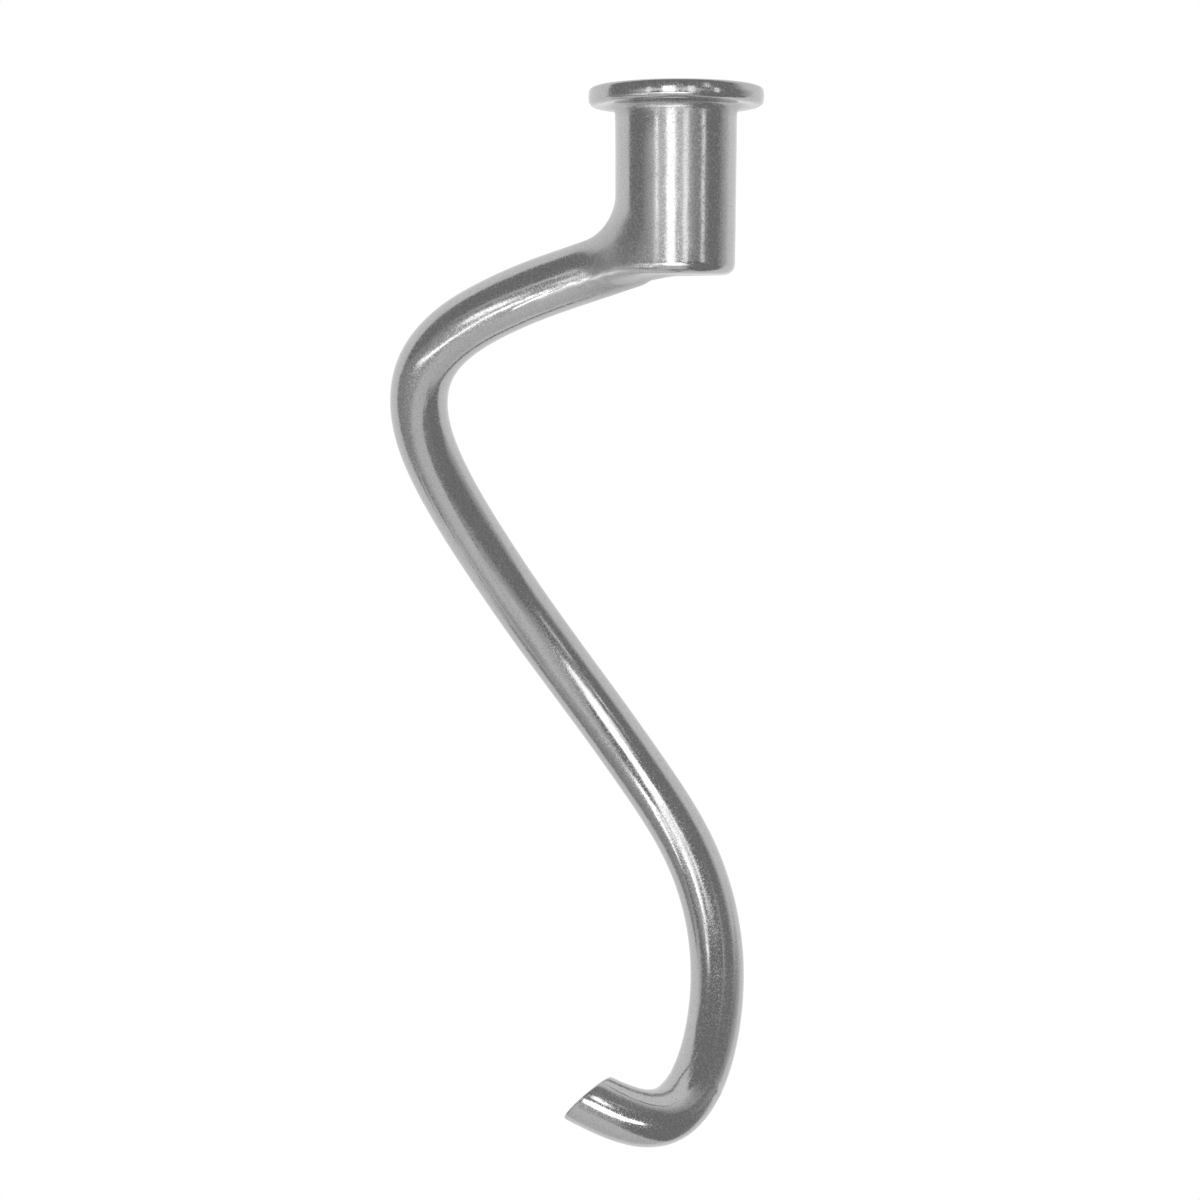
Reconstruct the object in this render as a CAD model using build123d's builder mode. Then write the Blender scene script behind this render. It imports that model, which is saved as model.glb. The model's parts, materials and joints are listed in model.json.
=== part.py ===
"""Spiral dough hook for a stand mixer: a flanged drive hub and a round spiral arm, cast in one piece.

Millimetres. The origin is the centre of the bore's mouth on top of the flange, and +Z runs up the drive shaft.
Seen from the front, along +Y, the arm leaves the hub to the left and winds down behind the axis to its tip.
"""

import os
from math import cos, radians, sin, tan

from build123d import *

# Hub and flange
hub_diameter = 33.5
hub_draft = 0.4  # how much narrower the hub is at its foot than at its neck
hub_height = 50.5  # from the top of the flange to the foot
hub_foot_radius = 3.0
flange_diameter = 48.1
flange_thickness = 4.9
flange_top_radius = 0.8
flange_under_radius = 2.0
neck_radius = 1.0  # inside corner between flange and hub

# Bore for the drive shaft
shaft_diameter = 19.0
shaft_clearance = 0.1  # on the radius
bore_depth = 36.0
mouth_chamfer = 0.8

# Bayonet slot for the shaft's drive pin
pin_diameter = 6.4
pin_stand_out = 3.2  # how far the pin stands out of the shaft
pin_clearance = 0.2  # on every side of the pin
pin_drop = 24.0  # from the bore's mouth to the axis of the locked pin
lock_turn = 35.0  # how far the pin turns under its ledge, in degrees
slot_bearing = 90.0  # where the slot lies round the shaft, in degrees from +X

# Arm, a round bar
arm_diameter = 16.7
root_bearing = 160.0  # the way the arm leaves the hub, in degrees from +X
root_slope = 17.0  # how far it points below level, in degrees
root_above_foot = 9.0  # where the arm's axis meets the hub's axis
root_bury = 3.2  # how far inside the hub's wall the arm's rounded inner end is centred
root_lead = 29.8  # from the hub's wall to the arm's first bend
root_blend = 8.5  # fillet where the arm runs into the hub
bend_share = 0.45  # part of a straight run that the bend at each of its ends may take up

# Corners of the arm's centre line: right of, behind and above the point where its axis meets the hub's axis
arm_corners = [
    (-62.0, 23.5, -23.0),
    (-74.0, 33.0, -35.5),
    (-76.0, 43.5, -52.5),
    (-69.0, 53.5, -72.0),
    (-57.0, 63.5, -94.0),
    (-41.5, 70.5, -118.5),
    (-23.5, 70.0, -143.0),
    (-6.0, 63.0, -166.5),
    (10.0, 51.0, -189.5),
    (16.5, 36.5, -216.5),
    (13.0, 20.0, -239.5),
    (5.0, 6.0, -252.5),
    (-8.5, -8.0, -253.5),
    (-34.0, -12.5, -237.5),
]

# Slanted cut that ends the arm
tip_trim = 11.2  # length of centre line that the cut takes off
tip_face = (-0.65, 0.37, 0.64)  # the way the cut looks
tip_radius = 1.0  # rounding of its edge

# Worked out from the above
hub_radius = hub_diameter / 2
foot_radius = hub_radius - hub_draft / 2
flange_radius = flange_diameter / 2
bore_radius = shaft_diameter / 2 + shaft_clearance
slot_width = pin_diameter + 2 * pin_clearance
slot_radius = shaft_diameter / 2 + pin_stand_out + pin_clearance
slot_floor = pin_drop + slot_width / 2
arm_radius = arm_diameter / 2
root_way = Vector(
    cos(radians(root_bearing)) * cos(radians(root_slope)),
    sin(radians(root_bearing)) * cos(radians(root_slope)),
    -sin(radians(root_slope)),
)
root_centre = Vector(0, 0, root_above_foot - hub_height)
root_start = root_centre + root_way * (hub_radius - root_bury)
arm_points = [root_start, root_centre + root_way * (hub_radius + root_lead)]
arm_points += [root_centre + Vector(corner) for corner in arm_corners]


def bend_radii(points):
    """Largest bend at each corner that leaves a short straight in the runs beside it."""
    radii = []
    for before, corner, after in zip(points, points[1:], points[2:]):
        arriving = corner - before
        leaving = after - corner
        half_turn = radians(arriving.get_angle(leaving) / 2)
        radii.append(bend_share * min(arriving.length, leaving.length) / tan(half_turn))
    return radii


with BuildPart() as hook:
    # Hub and flange, turned about the shaft's axis
    with BuildSketch(Plane.XZ):
        with BuildLine():
            Polyline(
                (0, 0),
                (flange_radius, 0),
                (flange_radius, -flange_thickness),
                (hub_radius, -flange_thickness),
                (foot_radius, -hub_height),
                (0, -hub_height),
                close=True,
            )
        make_face()
    revolve(axis=Axis.Z)
    foot_rim, flange_under, flange_top = hook.edges().filter_by(GeomType.CIRCLE).group_by(Axis.Z)
    neck, flange_rim = flange_under.sort_by(SortBy.RADIUS)
    fillet(foot_rim, hub_foot_radius)
    fillet(neck, neck_radius)
    fillet(flange_rim, flange_under_radius)
    fillet(flange_top, flange_top_radius)

    # Arm, swept along straight runs joined by tangent arcs, with a round inner end
    with BuildLine() as arm_line:
        FilletPolyline(*arm_points, radius=bend_radii(arm_points))
    with BuildSketch(Plane(origin=root_start, z_dir=root_way)):
        Circle(arm_radius)
    sweep(path=arm_line.wire())
    with Locations(root_start):
        Sphere(arm_radius)

    # Blend where the arm runs into the hub
    hub_wall = hook.faces().filter_by(GeomType.CONE).sort_by(SortBy.AREA)[-1]
    fillet(hub_wall.edges().filter_by(GeomType.BSPLINE), root_blend)

    # Slanted cut across the tip
    arm_length = arm_line.wire().length
    tip_point = arm_line.wire().position_at(1 - tip_trim / arm_length)
    cut_side = tip_trim + arm_diameter
    with BuildSketch(Plane(origin=tip_point, z_dir=tip_face)):
        Rectangle(cut_side, cut_side)
    extrude(amount=cut_side, mode=Mode.SUBTRACT)
    fillet(hook.edges(Select.LAST), tip_radius)

    # Blind bore for the drive shaft
    with BuildSketch():
        Circle(bore_radius)
    extrude(amount=-bore_depth, mode=Mode.SUBTRACT)
    chamfer(hook.edges(Select.LAST).group_by(Axis.Z)[-1], mouth_chamfer)

    # Bayonet slot: down the bore's wall from the mouth, then round under a ledge to where the pin locks
    with BuildSketch(Plane.XY.rotated((0, 0, slot_bearing))):
        Rectangle(slot_radius, slot_width, align=(Align.MIN, Align.CENTER))
    extrude(amount=-slot_floor, mode=Mode.SUBTRACT)
    with BuildSketch(Plane.XY.offset(-slot_floor).rotated((0, 0, slot_bearing + lock_turn))):
        Rectangle(slot_radius, slot_width, align=(Align.MIN, Align.CENTER))
    extrude(amount=slot_width, mode=Mode.SUBTRACT)
    with BuildSketch(Plane.XZ.rotated((0, 0, slot_bearing))):
        with Locations((0, -pin_drop)):
            Rectangle(slot_radius, slot_width, align=(Align.MIN, Align.CENTER))
    revolve(axis=Axis.Z, revolution_arc=lock_turn, mode=Mode.SUBTRACT)

os.makedirs("parts", exist_ok=True)
hook.part.label = "dough_hook"
export_step(hook.part, "parts/dough_hook.step")
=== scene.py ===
"""Studio scene of a dough hook for a stand mixer, laid out as an add-on and run as a script.

The hook is one casting, so it is one mesh. It is welded from three grids: the hub turned about the drive
shaft's axis, the bar carried along its centre line, and the collar where the bar flows into the hub.
Metres, +Z up the shaft.
"""

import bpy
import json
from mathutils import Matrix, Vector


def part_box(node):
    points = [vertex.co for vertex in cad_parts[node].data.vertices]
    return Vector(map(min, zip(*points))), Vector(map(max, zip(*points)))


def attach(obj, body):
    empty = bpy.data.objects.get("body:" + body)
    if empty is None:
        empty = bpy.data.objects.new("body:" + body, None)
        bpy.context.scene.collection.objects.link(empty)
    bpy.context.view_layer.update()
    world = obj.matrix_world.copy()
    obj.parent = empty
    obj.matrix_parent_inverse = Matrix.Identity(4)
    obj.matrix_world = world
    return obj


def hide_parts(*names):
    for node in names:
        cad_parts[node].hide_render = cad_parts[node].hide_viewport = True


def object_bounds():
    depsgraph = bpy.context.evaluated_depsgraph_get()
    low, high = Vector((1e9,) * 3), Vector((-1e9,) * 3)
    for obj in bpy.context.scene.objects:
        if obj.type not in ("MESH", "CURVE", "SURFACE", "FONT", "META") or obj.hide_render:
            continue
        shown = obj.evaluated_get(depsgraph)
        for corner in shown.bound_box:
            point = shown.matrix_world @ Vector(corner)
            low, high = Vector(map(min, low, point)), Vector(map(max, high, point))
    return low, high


bl_info = {
    "name": "Cast Dough Hook",
    "version": (1, 0, 0),
    "blender": (4, 5, 0),
    "location": "View3D > Sidebar > Dough Hook",
    "description": "Builds a spiral dough hook and a plain studio around it",
    "category": "Add Mesh",
}

import json
from math import asin, atan, cos, pi, radians, sin, tau

import bmesh
import bpy
import numpy as np
from bpy.props import FloatProperty, FloatVectorProperty, PointerProperty
from bpy.types import Operator, Panel, PropertyGroup

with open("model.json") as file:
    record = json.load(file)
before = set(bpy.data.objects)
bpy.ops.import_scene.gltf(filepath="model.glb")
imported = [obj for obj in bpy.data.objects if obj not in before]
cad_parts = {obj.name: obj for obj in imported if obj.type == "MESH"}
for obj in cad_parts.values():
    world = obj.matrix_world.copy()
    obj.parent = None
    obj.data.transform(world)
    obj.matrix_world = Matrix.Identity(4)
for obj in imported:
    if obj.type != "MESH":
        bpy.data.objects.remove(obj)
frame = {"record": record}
cad_low, cad_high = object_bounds()
drive_bore = frame["record"]["mounts"][0]["dims"]

MM = 0.001
NODE = "dough_hook"

# Corners of the bar's centre line in millimetres: right of, behind and above the point where the bar's
# first run meets the shaft's axis
BAR_CORNERS = (
    (-62.0, 23.5, -23.0),
    (-74.0, 33.0, -35.5),
    (-76.0, 43.5, -52.5),
    (-69.0, 53.5, -72.0),
    (-57.0, 63.5, -94.0),
    (-41.5, 70.5, -118.5),
    (-23.5, 70.0, -143.0),
    (-6.0, 63.0, -166.5),
    (10.0, 51.0, -189.5),
    (16.5, 36.5, -216.5),
    (13.0, 20.0, -239.5),
    (5.0, 6.0, -252.5),
    (-8.5, -8.0, -253.5),
    (-34.0, -12.5, -237.5),
)

# How the cast bar swells and thins: share of its length, and thickness against the nominal diameter
BAR_SWELL_AT = (0.0, 0.2, 0.45, 0.65, 0.82, 1.0)
BAR_SWELL = (1.01, 1.03, 1.035, 1.005, 0.975, 0.99)

# Parting line that the mould left along the bar: share of the bar's length, degrees round the bar from the
# front towards the outside of its first bend, height and half width in millimetres
SEAM_AT = (0.0, 0.03, 0.06, 0.11, 0.15, 0.78, 0.83, 0.87, 0.915, 0.945, 1.0)
SEAM_BEARING = (-11.0, -14.5, -17.0, -25.0, -27.0, 20.0, 28.0, 38.0, 52.0, 60.0, 66.0)
SEAM_HEIGHT = (0.16, 0.14, 0.07, 0.05, 0.0, 0.0, 0.05, 0.06, 0.06, 0.06, 0.06)
SEAM_WIDTH = (0.35, 0.35, 0.35, 0.35, 0.35, 0.25, 0.25, 0.25, 0.25, 0.25, 0.25)
WANDER_WAVES = (2.3 * MM, 0.9 * MM)  # how it strays from side to side along the bar
UNEVEN_WAVES = (1.7 * MM, 0.7 * MM)  # how its height varies along the bar
UNEVENNESS = 0.3

# Slow waves of the cast skin: wavelength in millimetres, and the way each wave runs
SKIN_WAVES = (
    (21.0, (0.9, 0.1, 0.4)),
    (16.0, (-0.3, 0.8, 0.6)),
    (13.0, (0.5, -0.6, 0.7)),
    (9.5, (-0.6, -0.3, 0.8)),
    (7.0, (0.7, 0.6, -0.4)),
)


def oblong(left, low, right, high):
    """Corners of an oblong, from its lower left one."""
    return (left, low), (right, low), (right, high), (left, high)


# Boards that the metal mirrors, in metres. A board is its name, the light of the whole board or of each
# corner, and its corners. Level boards come with their height, and their corners are given across and back.
LEVEL_BOARDS = (
    ("front_sheet", -1.25, (0.88, 0.88, 0.7, 0.7), (
        (-0.45, -1.03), (0.35, -1.03), (0.42, 0.4), (-0.45, 0.15),
    )),
    ("front_fade", -1.25, (0.6, 0.88, 0.7, 0.38), (
        (-0.85, -1.03), (-0.45, -1.03), (-0.45, 0.15), (-0.85, 0.03),
    )),
    ("front_end", -1.25, (0.6, 0.6, 0.36, 0.36), ((-1.0, -1.03), (-0.85, -1.03), (-0.85, 0.03), (-1.0, 0.0))),
    ("back_sheet", -1.25, 0.93, (
        (-1.0, 0.0), (-0.85, 0.03), (-0.45, 0.15), (0.42, 0.4), (0.93, 0.58), (1.73, 0.8), (3.0, 1.0),
        (-3.2, 1.0),
    )),
    ("tip_flag", -0.25, 0.33, oblong(-0.03, -0.075, 0.07, -0.02)),
)

# Boards on the left and on the right, with how far right they stand. Their corners are given back and up.
SIDE_BOARDS = (
    ("left_front", -1.0, (0.76, 0.45, 0.45, 0.76), oblong(-1.03, -1.25, -0.3, -0.2)),
    ("left_back", -1.0, (0.45, 0.36, 0.36, 0.45), oblong(-0.3, -1.25, 0.3, -0.2)),
    ("bend_board", -0.11, (0.55, 0.85, 0.85, 0.55), oblong(0.018, -0.242, 0.05, -0.195)),
    ("right_low", 2.0, (0.36, 0.82, 0.82, 0.36), oblong(0.0, -0.7, 1.0, 0.3)),
    ("right_high", 2.0, (0.3, 0.9, 0.9, 0.3), oblong(-0.35, 0.3, 0.3, 3.0)),
    ("right_back", 2.0, 0.92, oblong(0.3, 0.3, 1.0, 3.0)),
)

# Boards across the view, with how far behind the shaft they stand. Their corners are given across and up.
CROSS_BOARDS = (
    ("wall", 1.0, 0.93, (
        (-5.2, 6.5), (-5.2, -0.9), (-2.6, -1.7), (1.6, -1.8), (2.1, -1.4), (3.7, -1.0), (8.0, 0.0),
        (8.0, 6.5),
    )),
    ("left_wing", -0.402, (0.33, 0.78, 0.78, 0.33), oblong(-0.965, -0.042, -0.405, 0.042)),
    ("diffuser", -0.402, 0.92, oblong(-0.405, -0.042, 0.16, 0.042)),
    ("right_wing", -0.402, (0.75, 0.44, 0.44, 0.75), oblong(0.16, -0.042, 0.28, 0.042)),
    ("right_end", -0.402, (0.44, 0.36, 0.36, 0.44), oblong(0.28, -0.042, 0.76, 0.042)),
    ("strip_far_left", -0.4, 1.9, oblong(-0.335, -0.085, -0.28, 0.085)),
    ("strip_left", -0.4, 2.4, oblong(-0.138, -0.085, -0.018, 0.085)),
    ("strip_right", -0.4, 1.75, oblong(0.085, -0.085, 0.15, 0.085)),
    ("strip_far_right", -0.4, 1.4, oblong(0.435, -0.085, 0.55, 0.085)),
    ("right_column", -0.4, (1.6, 1.6, 0.35, 0.35), (
        (0.275, 0.08), (0.355, 0.08), (0.365, 0.27), (0.295, 0.27),
    )),
    ("apron_low", -1.03, (0.72, 0.72, 0.88, 0.88), oblong(-1.0, -1.25, 0.15, -0.8)),
    ("apron_high", -1.03, (0.88, 0.88, 0.56, 0.56), oblong(-1.0, -0.8, 0.15, -0.25)),
    ("apron_right", -1.03, (0.72, 0.36, 0.36, 0.6), oblong(0.15, -1.25, 0.65, -0.25)),
    ("window", -0.2, 2.4, (
        (-0.3, -0.17), (-0.2, -0.15), (-0.1, -0.13), (-0.06, -0.165), (0.03, -0.165), (0.085, -0.13),
        (0.06, -0.1), (0.02, -0.065), (-0.05, -0.068), (-0.1, -0.085), (-0.15, -0.102), (-0.3, -0.145),
    )),
    ("arm_lamp", -0.11, 2.3, (
        (-0.198, -0.12), (-0.16, -0.13), (-0.134, -0.112), (-0.142, -0.088), (-0.165, -0.082),
        (-0.19, -0.088),
    )),
    ("arm_strip", -0.11, 3.4, (
        (-0.112, -0.126), (-0.13, -0.136), (-0.148, -0.158), (-0.163, -0.194), (-0.2, -0.208), (-0.25, -0.22),
        (-0.37, -0.226), (-0.4, -0.242), (-0.25, -0.246), (-0.19, -0.232), (-0.155, -0.208), (-0.14, -0.168),
        (-0.112, -0.15),
    )),
    ("arm_glow", -0.112, (0.3, 0.7, 0.75, 0.45, 0.4, 0.3), (
        (-0.42, -0.2), (-0.15, -0.2), (-0.1, -0.13), (-0.12, -0.065), (-0.2, -0.05), (-0.42, -0.06),
    )),
    ("tip_lamp", -0.08, 3.6, (
        (-0.004, -0.303), (0.002, -0.285), (0.02, -0.29), (0.04, -0.302), (0.07, -0.312), (0.065, -0.324),
        (0.03, -0.318), (0.01, -0.312),
    )),
    ("tip_lamp_high", -0.08, 3.0, (
        (0.022, -0.275), (0.03, -0.262), (0.045, -0.255), (0.045, -0.268), (0.035, -0.28),
    )),
)

# The hub's grid
HUB_COLUMNS = 168
WINDOW_COLUMNS = 79  # those that the collar takes up
OUTLINE_SPACING = 0.6 * MM
CORNER_STEPS = (8, 6, 10, 8)  # on the roundings of the foot, the neck, and the rim below and above
FLAT_POINTS = 17  # across each flat of the bayonet slot
LOCK_POINTS = 8  # from the slot's entry round to its lock
TURN_SLACK = 1e-6  # so that the end points of a flat count as on it

# The bar's line and grid
STRAIGHT_SHARE = 0.58  # of the bar's first run
STEADY_WAY = (0.45, 0.72, 0.53)  # a direction that the bar never runs along
SPAN_POINTS = 60  # on each span of the centre line
RING_SPACING = 1.8 * MM
SEAM_CROWDING = 0.6  # how much closer the columns stand at the parting line
TIP_LEAN = 3  # bar diameters over which the rings lean over to the tip's cut
CUT_POINTS = 600  # along that stretch, to find where the cut meets the bar's lines
EDGE_ROWS = 6  # on the rounding of the tip's edge
FACE_ROWS = 4  # on the tip's flat face

# The collar's grid
COLLAR_ROWS = 30
COLLAR_ABOVE = 17.5 * MM  # from the bar's root up to its loop on the hub's wall
COLLAR_RUN = 13.5 * MM  # from the hub's wall to the bar's first ring
FOOT_LOOP = 3.5 * MM  # how near to the shaft's axis its loop passes under the foot
FOOT_FADE = 0.3  # share of the blend that is left there
BLEND_RISES = (-0.9, -0.3, 0.3, 0.9)  # rises round the bar where the blends below, beside and above hold
PROBE = 0.002 * MM  # step that measures a slope
LEAST_SLOPE = 0.25
LEAST_RADIUS = 1e-9  # keeps points on the bar's axis from dividing by nought
FIRST_STEPS = 12  # to settle its points before they are relaxed
RELAX_STEPS = 200
LAST_STEPS = 6

# The casting's skin
WELD_DISTANCE = 0.001 * MM
SHARP_ANGLE = radians(32)
COLLAR_DULL = 1.5  # reach of the dull corner at the collar, in blends
NECK_DULL = 2  # and at the neck, in radii
GRAIN_SHADES = (0.3, 0.6)  # part of the grain's range over which it turns from dark to bright
GRAIN_BLURS = (0.5, 0.68)  # part over which it turns rougher
PATCH_BLURS = (0.35, 0.65)  # part of the patches' range over which they turn rougher
PATCH_DULLNESS = (-0.03, 0.05)

SENSOR_WIDTH = 36.0  # millimetres
NEAR_CLIP = 0.01


def length(name, description, millimetres):
    """A length property whose default is given in millimetres."""
    return FloatProperty(
        name=name, description=description, default=millimetres * MM, precision=5, unit="LENGTH",
    )


def angle(name, description, degrees):
    """An angle property whose default is given in degrees."""
    return FloatProperty(name=name, description=description, default=radians(degrees), unit="ROTATION")


def share(name, description, value, highest=1.0):
    """A plain number from nought to a highest value."""
    return FloatProperty(
        name=name, description=description, default=value, min=0.0, max=highest, subtype="FACTOR",
    )


def grey(name, description, value):
    """A colour property whose default is a grey."""
    return FloatVectorProperty(
        name=name, description=description, default=(value, value, value), size=3, min=0.0, max=1.0,
        subtype="COLOR",
    )


class HubSizes(PropertyGroup):
    """Sizes of the flanged hub, its bore and its bayonet slot."""

    flange_diameter: length("Flange diameter", "Width of the flange", 2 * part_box(NODE)[1].x / MM)
    flange_thickness: length("Flange thickness", "Height of the flange's rim", 4.9)
    flange_top_radius: length("Flange top radius", "Rounding of the rim's upper edge", 0.8)
    flange_under_radius: length("Flange under radius", "Rounding of the rim's lower edge", 1.4)
    hub_diameter: length("Hub diameter", "Width of the hub at its neck", 33.5)
    hub_draft: length("Hub draft", "How much narrower the hub is at its foot", 0.4)
    hub_height: length("Hub height", "From the top of the flange to the foot", 50.5)
    flange_crown: length("Flange crown", "How much the rim bulges out at its middle", 0.35)
    neck_radius: length("Neck radius", "Inside corner between flange and hub", 2.2)
    foot_radius: length("Foot radius", "Rounding of the hub's foot", 3.0)
    bore_depth: length("Bore depth", "Depth of the blind bore", 36.0)
    mouth_chamfer: length("Mouth chamfer", "Chamfer round the bore's mouth", 0.8)
    slot_width: length("Slot width", "Width of the bayonet slot", 6.8)
    slot_reach: length("Slot reach", "From the shaft's axis to the slot's floor", 12.9)
    slot_floor: length("Slot floor", "Depth of the slot below the mouth", 27.4)
    slot_bearing: angle("Slot bearing", "Where the slot lies round the shaft", 90.0)
    lock_turn: angle("Lock turn", "How far the pin turns under its ledge", 35.0)


class BarSizes(PropertyGroup):
    """Sizes of the spiral bar and of the collar where it runs into the hub."""

    diameter: length("Bar diameter", "Nominal thickness of the bar", 16.7)
    root_bearing: angle("Root bearing", "The way the bar leaves the hub", 160.0)
    root_slope: angle("Root slope", "How far the bar points below level there", 17.0)
    root_above_foot: length("Root above foot", "Where the bar's axis meets the shaft's axis", 9.0)
    root_bury: length("Root bury", "How far inside the hub's wall the bar's round end is centred", 3.2)
    root_lead: length("Root lead", "From the hub's wall to the bar's first bend", 29.8)
    blend_above: length("Blend above", "Hollow between the bar's upper side and the hub", 9.5)
    blend_beside: length("Blend beside", "Hollow between the bar's flanks and the hub", 11.0)
    blend_below: length("Blend below", "Hollow between the bar's underside and the hub's foot", 2.2)
    # painted highlight: how far from the hub and how wide a bright line is painted on the parting line
    highlight_length: length("Highlight length", "How far from the hub the parting line was ground bright", 18.0)
    highlight_width: length("Highlight width", "Half width of that bright line", 0.55)
    seam_wander: length("Seam wander", "How far the parting line strays from side to side", 0.12)
    tip_trim: length("Tip trim", "How much of the centre line the tip's cut takes off", 11.2)
    tip_face: FloatVectorProperty(
        name="Tip face", description="The way the tip's slanted cut looks", default=(-0.65, 0.37, 0.64),
        subtype="DIRECTION",
    )
    tip_radius: length("Tip radius", "Rounding of the cut's edge", 1.0)


class CastFinish(PropertyGroup):
    """Finish of the tumbled casting."""

    colour: grey("Metal colour", "Colour of the bare metal", 0.55)
    # painted highlight: near-white colour painted along the parting line in place of a lamp's reflection
    highlight_colour: grey("Highlight colour", "Colour of the metal where it was ground", 0.95)
    roughness: share("Roughness", "Blur of the reflections", 0.13)
    corner_dullness: share("Corner dullness", "How much rougher the inside corners are", 0.2)
    grain_size: length("Grain size", "Width of the fine pits of the tumbled surface", 0.55)
    grain_depth: length("Grain depth", "Depth of those pits", 0.009)
    grain_shade: share("Grain shade", "How bright those pits are against the metal", 0.74)
    grain_dullness: share("Grain dullness", "How much rougher those pits are", 0.2)
    patch_size: length("Patch size", "Width of the patches of duller polish", 14.0)
    sway: length("Sway", "Height of the slow waves of the cast surface", 0.03)


class StudioSizes(PropertyGroup):
    """Camera, floor, boards and surroundings."""

    camera_place: FloatVectorProperty(
        name="Camera", description="Where the camera stands", default=(-0.02088, -0.56255, -0.06338),
        precision=5, subtype="TRANSLATION", unit="LENGTH",
    )
    camera_pitch: angle("Camera pitch", "How far the camera looks down", 7.92)
    camera_lens: FloatProperty(
        name="Lens", description="Focal length on a 36 mm sensor", default=60.0, unit="CAMERA",
    )
    floor_drop: length("Floor drop", "From the hook's tip down to the floor", 400.0)
    floor_width: length("Floor width", "Side of the square floor", 12000.0)
    pale: share("Pale", "Brightness of the floor and the background", 1.0, 2.0)
    room_light: share("Room light", "Brightness of the room beside and before the hook", 0.28, 10.0)
    deep_light: share("Deep light", "Brightness of the room where the hook mirrors itself", 0.55, 10.0)


def rounded_corner(before, corner, after, radius, steps):
    """Points of the arc that rounds one corner of an outline.

    The tangent points lie radius / tan(half the corner's angle) along the two sides. The centre lies on the
    bisector, and the points are the centre plus radius times directions that turn evenly from side to side.
    """
    before, corner, after = (np.array(point, float) for point in (before, corner, after))
    back = (before - corner) / np.linalg.norm(before - corner)
    ahead = (after - corner) / np.linalg.norm(after - corner)
    half = np.arccos(np.clip(back @ ahead, -1, 1)) / 2
    reach = radius / np.tan(half)
    bisector = (back + ahead) / np.linalg.norm(back + ahead)
    centre = corner + bisector * radius / np.sin(half)
    first = (corner + back * reach - centre) / radius
    last = (corner + ahead * reach - centre) / radius
    turn = np.arccos(np.clip(first @ last, -1, 1))
    part = np.linspace(0, 1, steps + 1)[:, None]
    return centre + radius * (np.sin((1 - part) * turn) * first + np.sin(part * turn) * last) / np.sin(turn)


def filled(points, spacing):
    """The points of a line with its long runs divided evenly, so that no run is longer than the spacing."""
    points = np.array(points, float)
    runs = np.linalg.norm(np.diff(points, axis=0), axis=1)
    parts = np.maximum(np.ceil(runs / spacing).astype(int), 1)
    start = np.repeat(np.arange(len(runs)), parts)
    step = np.arange(len(start)) - np.repeat(np.cumsum(parts) - parts, parts)
    weight = (step / parts[start])[:, None]
    return np.vstack([points[start] * (1 - weight) + points[start + 1] * weight, points[-1:]])


def outer_outline(hub):
    """Radius and height along the hub's outside, from the foot's centre up to the top of the flange.

    The rim's crown is a parabola: towards its edges the radius falls by the crown times the square of the
    distance from the rim's middle in half thicknesses, times the share of the way from neck to rim.
    """
    neck = hub.hub_diameter / 2
    foot = neck - hub.hub_draft / 2
    rim = hub.flange_diameter / 2
    under = -hub.flange_thickness
    bottom = -hub.hub_height
    corners = [(0.0, bottom), (foot, bottom), (neck, under), (rim, under), (rim, 0.0), (0.0, 0.0)]
    rounds = [hub.foot_radius, hub.neck_radius, hub.flange_under_radius, hub.flange_top_radius]
    line = [np.array(corners[:1])]
    for place, (radius, count) in enumerate(zip(rounds, CORNER_STEPS), start=1):
        line.append(rounded_corner(*corners[place - 1:place + 2], radius, count))
    radius, height = filled(np.vstack(line), OUTLINE_SPACING).T
    off_middle = np.clip(2 * height / hub.flange_thickness + 1, -1, 1)
    on_flange = np.clip((radius - neck) / (rim - neck), 0, 1)
    return np.column_stack([radius - hub.flange_crown * on_flange * off_middle ** 2, height])


def bore_ring(hub, radius, kind):
    """Plan of the bore at one height: a circle, with the bayonet slot cut into it.

    A plain ring is the circle alone. An entry ring has the slot's straight channel, whose floor is a flat at
    reach / cos(angle) and whose walls stand half a width either side. A lock ring runs on round the shaft,
    with an arc at the slot's reach, to a second such flat at the lock's bearing. Every ring has its points in
    the same order, from the middle of the slot, so that rings of different kinds can be joined.
    """
    half = hub.slot_width / 2
    edge = asin(half / radius)
    corner = atan(half / hub.slot_reach)
    lock = hub.lock_turn
    bend = np.linspace(-corner, corner, FLAT_POINTS)
    round_to_lock = np.linspace(edge, lock, LOCK_POINTS)[:-1]
    slot = np.concatenate([[-edge], bend, round_to_lock, lock + bend[bend >= 0], [lock + edge]])
    rest = np.linspace(lock + edge, tau - edge, HUB_COLUMNS - len(slot) + 2)[1:-1]
    turn = np.concatenate([slot, rest])
    plain = np.full(HUB_COLUMNS, radius)
    in_entry = np.abs(turn) < corner + TURN_SLACK
    in_lock = (turn > -corner - TURN_SLACK) & (turn < lock + corner + TURN_SLACK)
    off_centre = np.where(turn < 0, turn, np.maximum(turn - lock, 0))
    reach = {
        "plain": plain,
        "entry": np.where(in_entry, hub.slot_reach / np.cos(np.where(in_entry, turn, 0)), plain),
        "lock": np.where(in_lock, hub.slot_reach / np.cos(np.where(in_lock, off_centre, 0)), plain),
    }[kind]
    bearing = hub.slot_bearing + turn
    plan = np.stack([reach * np.cos(bearing), reach * np.sin(bearing)], axis=1)
    return np.roll(plan, -int(np.argmin(np.abs(turn - lock / 2))), axis=0)


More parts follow.
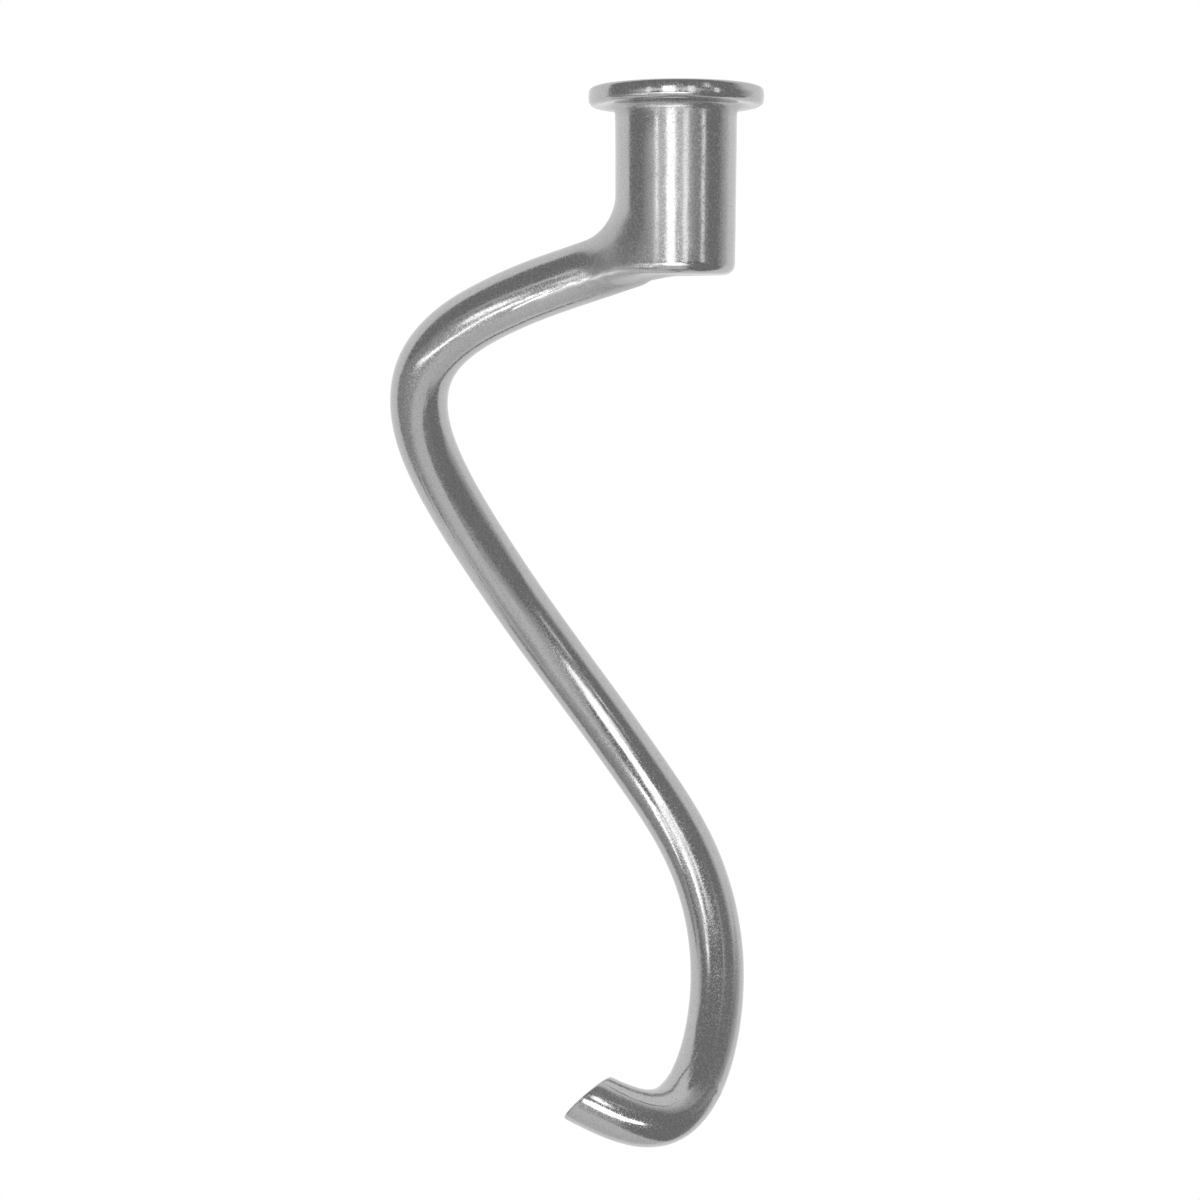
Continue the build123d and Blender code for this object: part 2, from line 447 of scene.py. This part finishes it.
def hub_grid(hub, first_bearing):
    """Grid of the hub: its outside turned about the shaft, then the bore's rings from the mouth to the floor.

    Outside, a point is (radius cos bearing, radius sin bearing, height) for every outline point and bearing.
    """
    outline = outer_outline(hub)
    bearing = first_bearing + tau * np.arange(HUB_COLUMNS) / HUB_COLUMNS
    outside = np.stack([
        outline[:, :1] * np.cos(bearing),
        outline[:, :1] * np.sin(bearing),
        np.repeat(outline[:, 1:], HUB_COLUMNS, axis=1),
    ], axis=2)
    bore = drive_bore["r_mm"] * MM
    ledge = -(hub.slot_floor - hub.slot_width)
    levels = [
        (0.0, bore + hub.mouth_chamfer, "entry"),
        (-hub.mouth_chamfer, bore, "entry"),
        (ledge / 2, bore, "entry"),
        (ledge, bore, "entry"),
        (ledge, bore, "lock"),
        (-hub.slot_floor, bore, "lock"),
        (-hub.slot_floor, bore, "plain"),
        (-hub.bore_depth, bore, "plain"),
    ]
    rings = np.stack([
        np.column_stack([bore_ring(hub, radius, kind), np.full(HUB_COLUMNS, height)])
        for height, radius, kind in levels
    ])
    nearest = np.argmin(np.abs(np.angle(np.exp(1j * (bearing - hub.slot_bearing - hub.lock_turn / 2)))))
    rings = np.roll(rings, nearest, axis=1)
    floor = np.broadcast_to([0.0, 0.0, -hub.bore_depth], rings[:1].shape)
    return np.concatenate([outside, rings, floor]), outline


class BarPath:
    """The bar's centre line and the frame that carries its round section.

    The line is a uniform cubic B-spline. Its control points are the corners, each moved outwards by a
    twenty-fourth of its second difference, so that the curve passes as near to the corners as a quadratic
    one. The frame is a fixed direction made square to the line, turned back by its summed twist, so that it
    doesn't spin.
    """

    def __init__(self, hub, bar):
        self.bar = bar
        self.radius = bar.diameter / 2
        self.seam_wander = bar.seam_wander / self.radius
        hub_radius = hub.hub_diameter / 2
        level = cos(bar.root_slope)
        self.way = np.array([
            cos(bar.root_bearing) * level, sin(bar.root_bearing) * level, -sin(bar.root_slope),
        ])
        centre = np.array([0.0, 0.0, bar.root_above_foot - hub.hub_height])
        self.start = centre + self.way * (hub_radius - bar.root_bury)
        bend = centre + self.way * (hub_radius + bar.root_lead)
        straight = self.start + (bend - self.start) * STRAIGHT_SHARE
        corners = np.vstack([self.start, straight, bend, centre + np.array(BAR_CORNERS) * MM])
        last_run = corners[-2] - corners[-1]
        self.tip = corners[-1] + last_run / np.linalg.norm(last_run) * bar.tip_trim
        self.tip_face = np.array(bar.tip_face) / np.linalg.norm(bar.tip_face)
        ends = np.vstack([2 * corners[0] - corners[1], corners, 2 * corners[-1] - corners[-2]])
        control = ends.copy()
        control[4:-1] -= (ends[3:-2] - 2 * ends[4:-1] + ends[5:]) / 24
        control[-1] = 2 * control[-2] - control[-3]
        u = np.linspace(0, 1, SPAN_POINTS, endpoint=False)
        weights = np.stack([
            (1 - u) ** 3, 3 * u ** 3 - 6 * u ** 2 + 4, -3 * u ** 3 + 3 * u ** 2 + 3 * u + 1, u ** 3,
        ], axis=1) / 6
        windows = np.lib.stride_tricks.sliding_window_view(control, 4, axis=0)
        line = np.einsum("uk,sck->suc", weights, windows).reshape(-1, 3)
        self.line = np.vstack([line, corners[-1:]])
        step = np.linalg.norm(np.diff(self.line, axis=0), axis=1)
        self.along = np.concatenate([[0], np.cumsum(step)])
        tangent = np.gradient(self.line, self.along, axis=0)
        self.tangent = tangent / np.linalg.norm(tangent, axis=1, keepdims=True)
        self.normal, self.binormal = self.steady_frame()
        front = -np.eye(3)[1]
        self.front_turn = np.unwrap(np.arctan2(self.binormal @ front, self.normal @ front))

    def steady_frame(self):
        """Two directions square to the line that don't spin about it."""
        fixed = np.array(STEADY_WAY)
        normal = fixed - (self.tangent @ fixed)[:, None] * self.tangent
        normal /= np.linalg.norm(normal, axis=1, keepdims=True)
        binormal = np.cross(self.tangent, normal)
        twist = np.einsum("ij,ij->i", np.gradient(normal, self.along, axis=0), binormal)
        steps = np.diff(self.along) * (twist[1:] + twist[:-1]) / 2
        turned = -np.concatenate([[0], np.cumsum(steps)])[:, None]
        return (
            np.cos(turned) * normal + np.sin(turned) * binormal,
            np.cos(turned) * binormal - np.sin(turned) * normal,
        )

    def at(self, values, along):
        """Values of the line, or of its frame, at lengths along it."""
        return np.stack([np.interp(along, self.along, values[:, axis]) for axis in range(3)], axis=-1)

    def thickness(self, along):
        """Radius of the bar at lengths along it: nominal, times the swell of the casting."""
        return self.radius * np.interp(along / self.along[-1], BAR_SWELL_AT, BAR_SWELL)

    def seam_turn(self, along):
        """Turn of the parting line at lengths along the bar, with a small wander from side to side."""
        bearing = np.radians(np.interp(along / self.along[-1], SEAM_AT, SEAM_BEARING))
        wander = np.sin(along / WANDER_WAVES[0]) + np.sin(along / WANDER_WAVES[1] + 1)
        return np.interp(along, self.along, self.front_turn) + bearing + self.seam_wander * wander

    def seam_lift(self, along, turn):
        """Height of the parting line's ridge: a bell curve of the distance from it, uneven along the bar."""
        part = along / self.along[-1]
        off = np.angle(np.exp(1j * (turn - self.seam_turn(along)))) * self.radius
        width = np.interp(part, SEAM_AT, SEAM_WIDTH) * MM
        waves = np.sin(along / UNEVEN_WAVES[0]) + np.sin(along / UNEVEN_WAVES[1] + 2)
        uneven = 1 + UNEVENNESS * waves
        return np.interp(part, SEAM_AT, SEAM_HEIGHT) * MM * uneven * np.exp(-(off / width) ** 2)

    def surface(self, along, turn):
        """Points of the bar: the centre line plus radius and ridge times a direction that turns about it."""
        outward = (
            np.cos(turn)[..., None] * self.at(self.normal, along)
            + np.sin(turn)[..., None] * self.at(self.binormal, along)
        )
        radius = (self.thickness(along) + self.seam_lift(along, turn))[..., None]
        return self.at(self.line, along) + radius * outward

    def cut_lengths(self, turn):
        """Length along the bar at which each of its lines meets the plane of the tip's cut.

        It lies between the last point before the plane and the first one past it, in proportion to their
        distances from the plane.
        """
        along = np.linspace(self.along[-1] - TIP_LEAN * self.bar.diameter, self.along[-1], CUT_POINTS)
        points = self.surface(*np.broadcast_arrays(along[:, None], turn[None, :]))
        ahead = (points - self.tip) @ self.tip_face
        after = np.argmax(ahead > 0, axis=0)
        column = np.arange(len(turn))
        low, high = ahead[after - 1, column], ahead[after, column]
        return along[after - 1] + (along[after] - along[after - 1]) * low / (low - high)


def bar_grid(path, root_along, turn):
    """Grid of the bar, from the collar to the tip's slanted face.

    Rows are rings along the centre line. A ring's turns are moved by the crowding times the sine of their
    distance from the parting line, so they stand closer there. Towards the tip the rings lean over, until
    the last one lies in the plane of the cut. The edge there is a quadratic curve from the bar's side to the
    face, and the face closes to its centre.
    """
    bar = path.bar
    edge = bar.tip_radius
    last_along = path.along[-1] - bar.tip_trim
    last_turn = turn - SEAM_CROWDING * np.sin(turn - path.seam_turn(last_along))
    cut = path.cut_lengths(last_turn)
    stop = cut - edge
    rows = int(np.ceil((stop.mean() - root_along) / RING_SPACING))
    ring = np.linspace(root_along, stop.mean(), rows)[:, None]
    lean = np.clip((ring - stop.mean()) / (TIP_LEAN * bar.diameter) + 1, 0, 1) ** 2
    along = ring + lean * (stop - stop.mean())
    crowding = SEAM_CROWDING * np.clip((ring - root_along) / bar.diameter, 0, 1)
    middle = path.seam_turn(np.minimum(ring, last_along))
    side = path.surface(along, turn - crowding * np.sin(turn - middle))
    corner = path.surface(cut, last_turn)
    centre = corner.mean(axis=0)
    inward = centre - corner
    inward /= np.linalg.norm(inward, axis=1, keepdims=True)
    flat = corner + edge * inward
    part = np.linspace(0, 1, EDGE_ROWS + 1)[1:, None, None]
    rounding = (1 - part) ** 2 * side[-1] + 2 * part * (1 - part) * corner + part ** 2 * flat
    part = np.linspace(0, 1, FACE_ROWS + 1)[1:, None, None]
    face = (1 - part) * flat + part * flat.mean(axis=0)
    return np.concatenate([side, rounding, face])


class Collar:
    """The smooth hollow between the bar's root and the hub.

    Where the distances to the hub and to the bar are both under the blend size, the surface is the curve on
    which the two shortfalls, squared and added, make the blend size squared. It is a round hollow where they
    meet squarely. Under the foot the blend fades towards the shaft's axis.
    """

    def __init__(self, hub, bar, path):
        self.hub, self.bar, self.path = hub, bar, path
        up = np.array([0.0, 0.0, 1.0]) - path.way[2] * path.way
        self.up = up / np.linalg.norm(up)

    def hub_distance(self, points):
        """Distance outside the hub's drafted wall and round foot.

        It is the distance, across and below, from an outline that lies inside by the foot's radius, less
        that radius.
        """
        hub = self.hub
        height = points[..., 2]
        drop = -height / hub.hub_height
        wall = hub.hub_diameter / 2 - hub.hub_draft / 2 * np.clip(drop, 0, 1)
        across = np.hypot(points[..., 0], points[..., 1]) - (wall - hub.foot_radius)
        below = -(hub.hub_height - hub.foot_radius) - height
        outside = np.hypot(np.maximum(across, 0), np.maximum(below, 0))
        return outside + np.minimum(np.maximum(across, below), 0) - hub.foot_radius

    def bar_distance(self, points):
        """Distance outside the bar's straight first run and its round inner end, and how far up round it.

        The distance is that from the bar's axis less the bar's radius. The rise is the upward part of the
        direction away from the axis, from minus one to one.
        """
        offset = points - self.path.start
        run = np.maximum(offset @ self.path.way, 0)
        radial = offset - run[..., None] * self.path.way
        far = np.linalg.norm(radial, axis=-1)
        return far - self.path.thickness(run), (radial @ self.up) / np.maximum(far, LEAST_RADIUS)

    def value(self, points):
        """Nought on the surface, more outside and less inside."""
        to_hub = self.hub_distance(points)
        to_bar, rise = self.bar_distance(points)
        blend = np.interp(rise, BLEND_RISES, [
            self.bar.blend_below, self.bar.blend_beside, self.bar.blend_beside, self.bar.blend_above,
        ])
        off_axis = np.hypot(points[..., 0], points[..., 1])
        blend *= np.interp(off_axis, [FOOT_LOOP, 3 * FOOT_LOOP], [FOOT_FADE, 1])
        short_hub = np.maximum(blend - to_hub, 0)
        short_bar = np.maximum(blend - to_bar, 0)
        return np.maximum(blend, np.minimum(to_hub, to_bar)) - np.hypot(short_hub, short_bar)

    def slope(self, points):
        """How fast the value grows along each axis."""
        return np.stack([
            self.value(points + PROBE * way) - self.value(points - PROBE * way) for way in np.eye(3)
        ], axis=-1) / (2 * PROBE)

    def settle(self, points, steps):
        """Moves points along the slope of the value until they lie on the surface."""
        for _ in range(steps):
            slope = self.slope(points)
            size = np.maximum(np.einsum("...i,...i->...", slope, slope), LEAST_SLOPE)
            points = points - (self.value(points) / size)[..., None] * slope
        return points

    def grid(self, outer, inner):
        """Grid between a loop on the hub and a ring of the bar, relaxed on the surface.

        Each step moves every inner point to the mean of its four neighbours and settles it on the surface
        again.
        """
        part = np.linspace(0, 1, COLLAR_ROWS)[:, None, None]
        points = (1 - part) * outer + part * inner
        points[1:-1] = self.settle(points[1:-1], FIRST_STEPS)
        for _ in range(RELAX_STEPS):
            before, after = np.roll(points, 1, axis=1), np.roll(points, -1, axis=1)
            mean = (points[:-2] + points[2:] + before[1:-1] + after[1:-1]) / 4
            points[1:-1] = self.settle(mean, 1)
        points[1:-1] = self.settle(points[1:-1], LAST_STEPS)
        points[1:-1] = self.seamed(points[1:-1])
        return points

    def round_bar(self, points):
        """Run along the bar's straight first run and turn round it."""
        offset = points - self.path.start
        run = np.maximum(offset @ self.path.way, 0)
        radial = offset - run[..., None] * self.path.way
        return run, np.arctan2(radial @ self.path.binormal[0], radial @ self.path.normal[0])

    def clear_of_hub(self, points):
        """Nought at the hub's wall, growing to one a quarter of a blend away from it."""
        quarter = self.bar.blend_beside / 4
        return np.clip(self.hub_distance(points) / quarter, 0, 1)

    def seamed(self, points):
        """Points with the parting line's ridge, which dies away towards the hub's wall."""
        lift = self.clear_of_hub(points) * self.path.seam_lift(*self.round_bar(points))
        slope = self.slope(points)
        return points + lift[..., None] * slope / np.linalg.norm(slope, axis=-1, keepdims=True)

    def painted(self, points):
        """Where a highlight is painted along the parting line, standing in for a lamp's reflection: a bell
        curve of the distance from it.

        It is one up to the highlight length and dies away over the same length again.
        """
        run, turn = self.round_bar(points)
        off = np.angle(np.exp(1j * (turn - self.path.seam_turn(run)))) * self.path.radius
        near = self.bar_distance(points)[0] < self.bar.blend_beside
        along = np.clip(2 - run / self.bar.highlight_length, 0, 1)
        return near * along * self.clear_of_hub(points) * np.exp(-(off / self.bar.highlight_width) ** 2)


def grid_faces(rows, columns, first, skip=None):
    """Corner numbers of the quads of a grid whose columns close on themselves, less those of a window."""
    number = first + np.arange(rows * columns).reshape(rows, columns)
    ahead = np.roll(number, -1, axis=1)
    quads = np.stack([number[:-1], ahead[:-1], ahead[1:], number[1:]], axis=-1)
    keep = np.ones(quads.shape[:2], bool)
    if skip:
        keep[skip] = False
    return quads[keep]


def cast_mesh(hub, bar):
    """Vertices and quads of the whole casting.

    The hub's grid has a window left out. The collar spans from the window's edge to the bar's first ring,
    which has as many points as that edge, spaced evenly round the bar.
    """
    path = BarPath(hub, bar)
    step = tau / HUB_COLUMNS
    bearing = bar.root_bearing - WINDOW_COLUMNS * step / 2
    hub_points, outline = hub_grid(hub, bearing)
    # a row off the foot or off the wall counts as a metre away
    off_foot = outline[:, 1] > -hub.hub_height + MM
    low_row = int(np.argmin(np.abs(outline[:, 0] - FOOT_LOOP) + off_foot))
    top = -hub.hub_height + bar.root_above_foot + COLLAR_ABOVE
    off_wall = np.abs(outline[:, 0] - hub.hub_diameter / 2) >= MM
    high_row = int(np.argmin(np.abs(outline[:, 1] - top) + off_wall))
    window = (slice(low_row, high_row), slice(0, WINDOW_COLUMNS))
    loop = np.concatenate([
        hub_points[low_row, :WINDOW_COLUMNS],
        hub_points[low_row:high_row, WINDOW_COLUMNS],
        hub_points[high_row, WINDOW_COLUMNS:0:-1],
        hub_points[high_row:low_row:-1, 0],
    ])
    root_along = bar.root_bury + COLLAR_RUN
    normal, binormal = path.at(path.normal, np.array(0.0)), path.at(path.binormal, np.array(0.0))
    offset = loop - path.start
    seen = np.unwrap(np.arctan2(offset @ binormal, offset @ normal))
    sense = np.sign(seen[-1] - seen[0])
    even = sense * tau * np.arange(len(loop)) / len(loop)
    turn = even + (seen - even).mean()
    bar_points = bar_grid(path, root_along, turn)
    collar_points = Collar(hub, bar, path).grid(loop, bar_points[0])
    grids = [hub_points, collar_points, bar_points]
    sizes = [points.shape[0] * points.shape[1] for points in grids]
    first = np.cumsum([0] + sizes)
    quads = np.concatenate([
        grid_faces(*hub_points.shape[:2], first[0], window),
        grid_faces(*collar_points.shape[:2], first[1]),
        grid_faces(*bar_points.shape[:2], first[2]),
    ])
    return np.concatenate([points.reshape(-1, 3) for points in grids]), quads


def skin_waves(points):
    """Mean of sine waves that run several ways through space, from minus one to one."""
    lengths = np.array([wave for wave, way in SKIN_WAVES]) * MM
    ways = np.array([way for wave, way in SKIN_WAVES])
    ways /= np.linalg.norm(ways, axis=1, keepdims=True)
    phase = points @ (ways * tau / lengths[:, None]).T + np.arange(len(lengths))
    return np.sin(phase).mean(axis=1)


def vertex_values(mesh, name):
    """Places or normals of a mesh's vertices, one a row."""
    values = np.empty(len(mesh.vertices) * 3, np.float32)
    mesh.vertices.foreach_get(name, values)
    return values.reshape(-1, 3)


def wave_skin(mesh, height):
    """Moves every vertex along its normal by the height times the slow waves of the cast skin."""
    points = vertex_values(mesh, "co")
    points += height * skin_waves(points)[:, None] * vertex_values(mesh, "normal")
    mesh.vertices.foreach_set("co", points.ravel())
    mesh.update()


def mark_skin(mesh, hub, bar):
    """Marks the painted highlight along the parting line and the dull corners of the casting with attributes
    from nought to one.

    Dull are the inside corners, which the tumbling stones didn't reach: the collar between bar and hub, and
    the neck between hub and flange. The mark is one less the farther of the distances to a corner's two
    sides, in corner sizes.
    """
    points = vertex_values(mesh, "co")
    collar = Collar(hub, bar, BarPath(hub, bar))
    beside = np.maximum(collar.hub_distance(points), collar.bar_distance(points)[0])
    beside /= COLLAR_DULL * bar.blend_beside
    across = np.abs(np.hypot(points[:, 0], points[:, 1]) - hub.hub_diameter / 2)
    under = np.abs(points[:, 2] + hub.flange_thickness)
    neck = np.maximum(across, under) / (NECK_DULL * hub.neck_radius)
    dull = np.clip(1 - np.minimum(np.abs(beside), neck), 0, 1)
    # the painted highlight along the parting line gets its own attribute, next to the dull corners
    for name, values in (("dull", dull), ("painted", collar.painted(points))):
        mesh.attributes.new(name, "FLOAT", "POINT").data.foreach_set("value", values.astype(np.float32))


def welded(name, points, quads):
    """A mesh object from points and quads, with its seams and poles welded and its faces turned outwards."""
    mesh = bpy.data.meshes.new(name)
    mesh.from_pydata(points.tolist(), [], quads.tolist())
    work = bmesh.new()
    work.from_mesh(mesh)
    bmesh.ops.remove_doubles(work, verts=work.verts, dist=WELD_DISTANCE)
    bmesh.ops.recalc_face_normals(work, faces=work.faces)
    work.to_mesh(mesh)
    work.free()
    mesh.shade_smooth()
    mesh.set_sharp_from_angle(angle=SHARP_ANGLE)
    piece = bpy.data.objects.new(name, mesh)
    bpy.context.scene.collection.objects.link(piece)
    return piece


def attribute(tree, name):
    """Output of a new node that reads one of the surface's attributes."""
    node = tree.nodes.new("ShaderNodeAttribute")
    node.attribute_name = name
    return node.outputs["Fac"]


def ranged(tree, source, source_range, result_range):
    """Output of a new node that carries a value from one range over to another."""
    node = tree.nodes.new("ShaderNodeMapRange")
    tree.links.new(source, node.inputs["Value"])
    for socket, value in zip(("From Min", "From Max", "To Min", "To Max"), (*source_range, *result_range)):
        node.inputs[socket].default_value = value
    return node.outputs["Result"]


def cast_metal(finish):
    """Bright tumbled casting: grey metal with fine pits, patches of duller polish and dull corners.

    Along the parting line near the hub a highlight is painted into the base colour, which turns near white
    there.
    """
    material = bpy.data.materials.new("tumbled_cast_metal")
    material.use_nodes = True
    tree = material.node_tree
    nodes, links = tree.nodes, tree.links
    shader = nodes["Principled BSDF"]
    shader.inputs["Metallic"].default_value = 1.0
    place = nodes.new("ShaderNodeTexCoord")

    def noise(size, detail, roughness):
        """Output of a noise texture whose blobs are about the given size."""
        texture = nodes.new("ShaderNodeTexNoise")
        texture.inputs["Scale"].default_value = 1 / size
        texture.inputs["Detail"].default_value = detail
        texture.inputs["Roughness"].default_value = roughness
        links.new(place.outputs["Object"], texture.inputs["Vector"])
        return texture.outputs["Fac"]

    def mixed(factor, colour):
        """A node that mixes a colour in by a factor."""
        mix = nodes.new("ShaderNodeMix")
        mix.data_type = "RGBA"
        mix.inputs["B"].default_value = (*colour, 1)
        links.new(factor, mix.inputs["Factor"])
        return mix

    grain = noise(finish.grain_size, detail=2.0, roughness=0.6)
    patches = noise(finish.patch_size, detail=3.0, roughness=0.5)
    tint = mixed(ranged(tree, grain, GRAIN_SHADES, (0, 1)), finish.colour)
    tint.inputs["A"].default_value = (*(finish.grain_shade * np.array(finish.colour)), 1)
    # painted highlight: along the parting line near the hub the base colour turns near white, in place of a
    # lamp's reflection
    bright = mixed(attribute(tree, "painted"), finish.highlight_colour)
    links.new(tint.outputs["Result"], bright.inputs["A"])
    links.new(bright.outputs["Result"], shader.inputs["Base Color"])
    grain_blur = (finish.roughness, finish.roughness + finish.grain_dullness)
    blur = ranged(tree, grain, GRAIN_BLURS, grain_blur)
    for more in (
        ranged(tree, patches, PATCH_BLURS, PATCH_DULLNESS),
        ranged(tree, attribute(tree, "dull"), (0, 1), (0, finish.corner_dullness)),
    ):
        total = nodes.new("ShaderNodeMath")
        total.operation = "ADD"
        links.new(blur, total.inputs[0])
        links.new(more, total.inputs[1])
        blur = total.outputs["Value"]
    links.new(blur, shader.inputs["Roughness"])
    pits = nodes.new("ShaderNodeBump")
    pits.inputs["Distance"].default_value = finish.grain_depth
    links.new(grain, pits.inputs["Height"])
    links.new(pits.outputs["Normal"], shader.inputs["Normal"])
    return material


class HOOK_OT_cast(Operator):
    """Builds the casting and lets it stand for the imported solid"""

    bl_idname = "hook.cast"
    bl_label = "Cast the hook"

    def execute(self, context):
        scene = context.scene
        points, quads = cast_mesh(scene.hook_hub, scene.hook_bar)
        if not np.isfinite(points).all():
            raise ValueError("the casting has points without a place")
        piece = welded("hook_casting", points, quads)
        wave_skin(piece.data, scene.hook_finish.sway)
        mark_skin(piece.data, scene.hook_hub, scene.hook_bar)
        piece.data.materials.append(cast_metal(scene.hook_finish))
        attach(piece, "root")
        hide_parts(NODE)
        return {"FINISHED"}


def glow():
    """A material that only shines, as brightly as each corner of its board says."""
    material = bpy.data.materials.get("board_glow")
    if material:
        return material
    material = bpy.data.materials.new("board_glow")
    material.use_nodes = True
    tree = material.node_tree
    shader = tree.nodes["Principled BSDF"]
    shader.inputs["Base Color"].default_value = (0, 0, 0, 1)
    shader.inputs["Specular IOR Level"].default_value = 0
    shader.inputs["Emission Color"].default_value = (1, 1, 1, 1)
    tree.links.new(attribute(tree, "light"), shader.inputs["Emission Strength"])
    return material


def panel(name, corners, light):
    """A flat board with the given corners and the same light all over, or a light for each corner."""
    mesh = bpy.data.meshes.new(name)
    mesh.from_pydata(corners, [], [tuple(range(len(corners)))])
    lights = np.broadcast_to(np.float32(light), len(corners)).copy()
    mesh.attributes.new("light", "FLOAT", "POINT").data.foreach_set("value", lights)
    mesh.materials.append(glow())
    board = bpy.data.objects.new(name, mesh)
    bpy.context.scene.collection.objects.link(board)
    return board


def pale_floor(studio):
    """A square floor of pale paper under the hook, which the metal doesn't mirror."""
    half = studio.floor_width / 2
    height = cad_low.z - studio.floor_drop
    corners = [(-half, -half, height), (half, -half, height), (half, half, height), (-half, half, height)]
    floor = panel("floor", corners, studio.pale)
    floor.visible_glossy = False


def boards():
    """The level, side and cross boards that the metal mirrors, out of the camera's sight."""
    made = []
    for name, height, light, outline in LEVEL_BOARDS:
        made.append(panel(name, [(x, y, height) for x, y in outline], light))
    for name, across, light, outline in SIDE_BOARDS:
        made.append(panel(name, [(across, y, z) for y, z in outline], light))
    for name, behind, light, outline in CROSS_BOARDS:
        made.append(panel(name, [(x, behind, z) for x, z in outline], light))
    for board in made:
        board.visible_camera = False


def surroundings(studio):
    """A world that the camera sees as pale and the metal as a dim room.

    Where the hook mirrors itself, the room is paler.
    """
    world = bpy.data.worlds.new("studio")
    world.use_nodes = True
    tree = world.node_tree
    nodes, links = tree.nodes, tree.links
    room = nodes["Background"]
    pale = nodes.new("ShaderNodeBackground")
    ray = nodes.new("ShaderNodeLightPath")
    either = nodes.new("ShaderNodeMixShader")
    for background in (room, pale):
        background.inputs["Color"].default_value = (1, 1, 1, 1)
    pale.inputs["Strength"].default_value = studio.pale
    once_or_twice = (1, 2)
    room_range = (studio.room_light, studio.deep_light)
    light = ranged(tree, ray.outputs["Glossy Depth"], once_or_twice, room_range)
    links.new(light, room.inputs["Strength"])
    links.new(ray.outputs["Is Camera Ray"], either.inputs["Fac"])
    links.new(room.outputs["Background"], either.inputs[1])
    links.new(pale.outputs["Background"], either.inputs[2])
    links.new(either.outputs["Shader"], nodes["World Output"].inputs["Surface"])
    bpy.context.scene.world = world


def camera(studio):
    """A camera that looks along +Y and a little down."""
    data = bpy.data.cameras.new("camera")
    data.sensor_width = SENSOR_WIDTH
    data.lens = studio.camera_lens
    data.clip_start = NEAR_CLIP
    stand = bpy.data.objects.new("camera", data)
    stand.location = studio.camera_place
    stand.rotation_euler = (pi / 2 - studio.camera_pitch, 0, 0)
    bpy.context.scene.collection.objects.link(stand)
    bpy.context.scene.camera = stand


class HOOK_OT_stage(Operator):
    """Sets up the floor, the boards, the surroundings and the camera"""

    bl_idname = "hook.stage"
    bl_label = "Set the stage"

    def execute(self, context):
        studio = context.scene.hook_studio
        pale_floor(studio)
        boards()
        surroundings(studio)
        camera(studio)
        context.scene.view_settings.view_transform = "Standard"
        return {"FINISHED"}


class HOOK_PT_panel(Panel):
    """Lists the hook's sizes and finishes and the steps that build it"""

    bl_idname = "HOOK_PT_panel"
    bl_label = "Dough Hook"
    bl_space_type = "VIEW_3D"
    bl_region_type = "UI"
    bl_category = "Dough Hook"

    def draw(self, context):
        for operator, groups in (
            (HOOK_OT_cast, ("hook_hub", "hook_bar", "hook_finish")),
            (HOOK_OT_stage, ("hook_studio",)),
        ):
            box = self.layout.box()
            for name in groups:
                settings = getattr(context.scene, name)
                for prop in settings.bl_rna.properties:
                    if prop.identifier not in {"rna_type", "name"}:
                        box.prop(settings, prop.identifier)
            box.operator(operator.bl_idname)


GROUPS = {"hook_hub": HubSizes, "hook_bar": BarSizes, "hook_finish": CastFinish, "hook_studio": StudioSizes}
CLASSES = (*GROUPS.values(), HOOK_OT_cast, HOOK_OT_stage, HOOK_PT_panel)


def register():
    """Adds the classes, and one group of settings of each kind to the scene."""
    for cls in CLASSES:
        bpy.utils.register_class(cls)
    for name, group in GROUPS.items():
        setattr(bpy.types.Scene, name, PointerProperty(type=group))


def unregister():
    """Takes the settings and the classes away again."""
    for name in GROUPS:
        delattr(bpy.types.Scene, name)
    for cls in reversed(CLASSES):
        bpy.utils.unregister_class(cls)


def main():
    """Builds the hook and its stage."""
    register()
    bpy.ops.hook.cast()
    bpy.ops.hook.stage()


if __name__ == "__main__":
    main()
